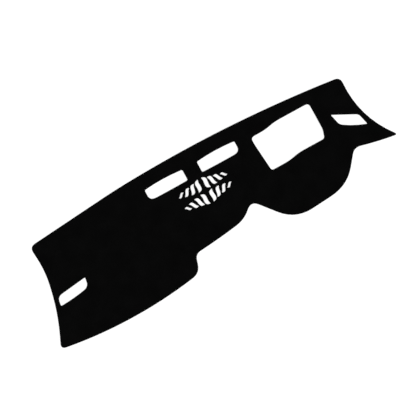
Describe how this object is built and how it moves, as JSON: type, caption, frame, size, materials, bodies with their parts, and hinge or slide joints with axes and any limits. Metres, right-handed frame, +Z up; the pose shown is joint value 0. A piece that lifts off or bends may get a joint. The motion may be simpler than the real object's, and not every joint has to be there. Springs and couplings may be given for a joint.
{
  "type": "dashboard cover mat",
  "caption": "Flat fabric mat cut to a car dashboard's outline, with openings for the demister vents, a head-up display and a slotted loudspeaker grille.",
  "frame": {"origin": "under the middle of the bounding box, on the underside of the sheet", "axes": "+X towards the driver's end, along the mat's length; +Y towards the windscreen; +Z up, through the mat's thickness"},
  "size_m": [1.4794, 0.4566, 0.004],
  "materials": {
    "pile_fabric": "matt near-black short-pile polyester, with a bound rim round the outline and the larger openings"
  },
  "bodies": {
    "root": {"dash_mat": "pile_fabric"}
  },
  "joints": []
}
